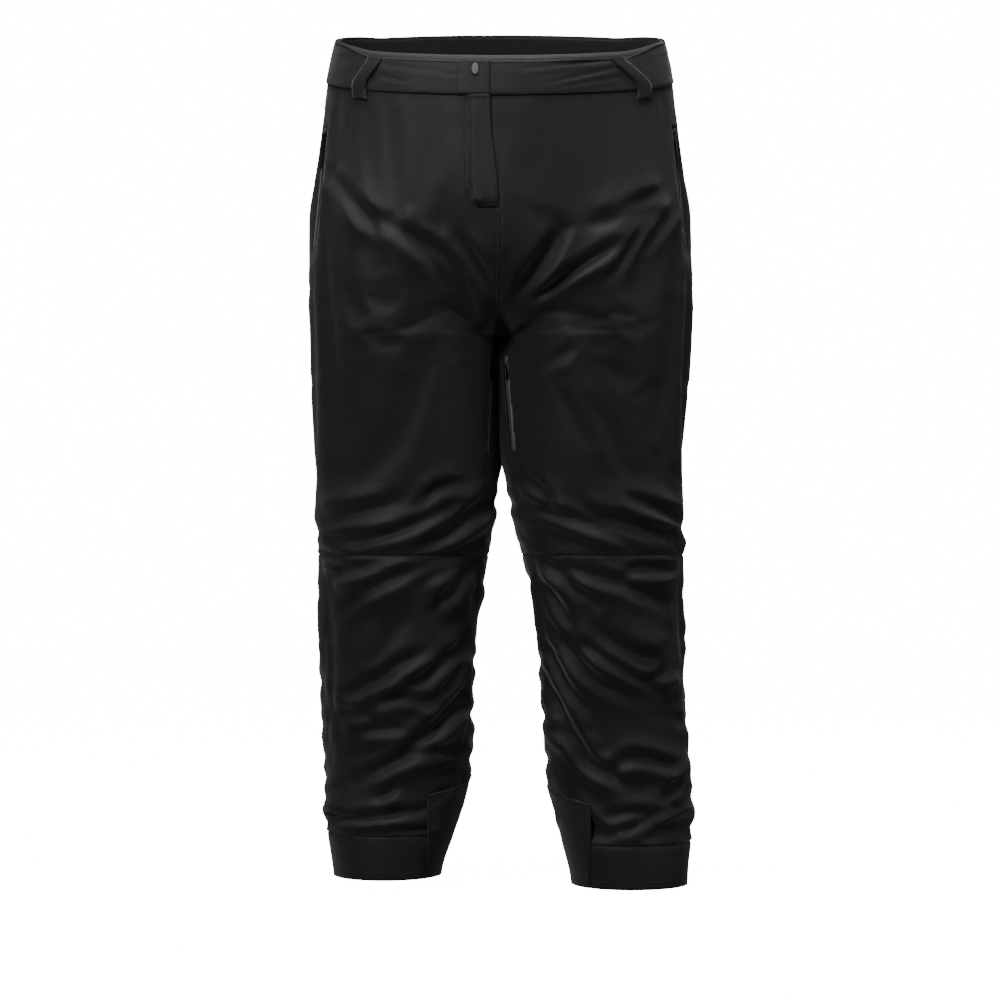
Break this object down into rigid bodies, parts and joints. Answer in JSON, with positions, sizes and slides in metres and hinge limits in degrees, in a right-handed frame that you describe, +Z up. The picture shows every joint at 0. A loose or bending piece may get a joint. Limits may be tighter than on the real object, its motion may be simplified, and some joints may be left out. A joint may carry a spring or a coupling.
{
  "type": "ski pants",
  "caption": "Black insulated ski pants with belt loops, snap and zip fly, zipped hand pockets, thigh vents, knee panels, scuff guards and snow gaiters.",
  "frame": {"origin": "middle of the waist opening, at the height of its sides", "axes": "+X is the wearer's left, -Y is the front, +Z is up towards the waist"},
  "size_m": [0.4982, 0.3351, 1.1032],
  "materials": {
    "shell_cloth": "matte",
    "guard_cloth": "matte",
    "lining_cloth": "matte",
    "webbing": "matte",
    "gaiter_cloth": "matte",
    "elastic": "matte",
    "zip_tape": "matte",
    "zip_coil": "satin",
    "zip_metal": "satin",
    "puller": "satin",
    "snap_metal": "satin"
  },
  "bodies": {
    "pelvis": {"front_panel_r": "shell_cloth", "back_panel_r": "shell_cloth", "front_panel_l": "shell_cloth", "back_panel_l": "shell_cloth", "hip_fold_r": "shell_cloth", "vent_zip_r": "zip_tape", "vent_slider_r": "zip_metal", "waistband_front_r": "shell_cloth", "belt_loop_front_r": "webbing", "pocket_bag_r": "lining_cloth", "hip_fold_l": "shell_cloth", "vent_zip_l": "zip_tape", "vent_slider_l": "zip_metal", "waistband_front_l": "shell_cloth", "belt_loop_front_l": "webbing", "pocket_bag_l": "lining_cloth", "pocket_r_tape": "zip_tape", "pocket_r_coil": "zip_coil", "pocket_l_tape": "zip_tape", "pocket_l_coil": "zip_coil", "waistband_back": "shell_cloth", "waist_elastic": "elastic", "waist_facing": "shell_cloth", "belt_loops_back": "webbing", "fly_tape": "zip_tape", "fly_coil": "zip_coil", "fly_shield": "shell_cloth", "snap_stud": "snap_metal", "seat_lining": "lining_cloth"},
    "fly_corner": {"fly_flap": "shell_cloth", "waist_tab": "shell_cloth", "snap_cap": "snap_metal", "snap_socket": "snap_metal"},
    "fly_runner": {"fly_slider": "zip_metal", "fly_puller": "puller"},
    "thigh_r": {"front_thigh_r": "shell_cloth", "back_thigh_r": "shell_cloth", "front_knee_r": "shell_cloth", "back_knee_r": "shell_cloth"},
    "shin_r": {"front_shin_r": "shell_cloth", "back_shin_r": "shell_cloth", "hem_band_r": "shell_cloth", "scuff_guard_r": "guard_cloth", "gaiter_r": "gaiter_cloth", "gaiter_grip_r": "elastic"},
    "pocket_runner_r": {"pocket_r_slider": "zip_metal"},
    "pocket_pull_r": {"pocket_r_puller": "puller"},
    "thigh_l": {"front_thigh_l": "shell_cloth", "back_thigh_l": "shell_cloth", "front_knee_l": "shell_cloth", "back_knee_l": "shell_cloth"},
    "shin_l": {"front_shin_l": "shell_cloth", "back_shin_l": "shell_cloth", "hem_band_l": "shell_cloth", "scuff_guard_l": "guard_cloth", "gaiter_l": "gaiter_cloth", "gaiter_grip_l": "elastic"},
    "pocket_runner_l": {"pocket_l_slider": "zip_metal"},
    "pocket_pull_l": {"pocket_l_puller": "puller"}
  },
  "joints": [
    {"name": "hip_r", "type": "hinge", "parent": "pelvis", "child": "thigh_r", "pos_m": [-0.12, -0.005, -0.336], "axis": [-1, 0, 0], "range_deg": [0, 60], "deforming": ["hip_fold_r", "vent_zip_r", "vent_slider_r"]},
    {"name": "knee_r", "type": "hinge", "parent": "thigh_r", "child": "shin_r", "pos_m": [-0.14, 0.008, -0.753], "axis": [1, 0, 0], "range_deg": [0, 75], "deforming": ["front_knee_r", "back_knee_r"]},
    {"name": "pocket_slide_r", "type": "slide", "parent": "pelvis", "child": "pocket_runner_r", "axis": [-0.0936, -0.0621, -0.9937], "range_m": [0, 0.136]},
    {"name": "pocket_pull_hinge_r", "type": "hinge", "parent": "pocket_runner_r", "child": "pocket_pull_r", "pos_m": [-0.22513, -0.03787, -0.12162], "axis": [-0.3898, 0.9207, -0.0208], "range_deg": [0, 150]},
    {"name": "hip_l", "type": "hinge", "parent": "pelvis", "child": "thigh_l", "pos_m": [0.12, -0.005, -0.336], "axis": [-1, 0, 0], "range_deg": [0, 60], "deforming": ["hip_fold_l", "vent_zip_l", "vent_slider_l"]},
    {"name": "knee_l", "type": "hinge", "parent": "thigh_l", "child": "shin_l", "pos_m": [0.14, 0.008, -0.753], "axis": [1, 0, 0], "range_deg": [0, 75], "deforming": ["front_knee_l", "back_knee_l"]},
    {"name": "pocket_slide_l", "type": "slide", "parent": "pelvis", "child": "pocket_runner_l", "axis": [0.0917, -0.0621, -0.9938], "range_m": [0, 0.136]},
    {"name": "pocket_pull_hinge_l", "type": "hinge", "parent": "pocket_runner_l", "child": "pocket_pull_l", "pos_m": [0.2251, -0.03787, -0.12163], "axis": [-0.3897, -0.9207, 0.0216], "range_deg": [0, 150]},
    {"name": "fly_slide", "type": "slide", "parent": "pelvis", "child": "fly_runner", "axis": [0, -0.1098, -0.994], "range_m": [0, 0.0917]},
    {"name": "fly_open", "type": "hinge", "parent": "pelvis", "child": "fly_corner", "pos_m": [-0.052, -0.13145, -0.03], "axis": [0.031, -0.1198, -0.9923], "range_deg": [0, 110]}
  ]
}
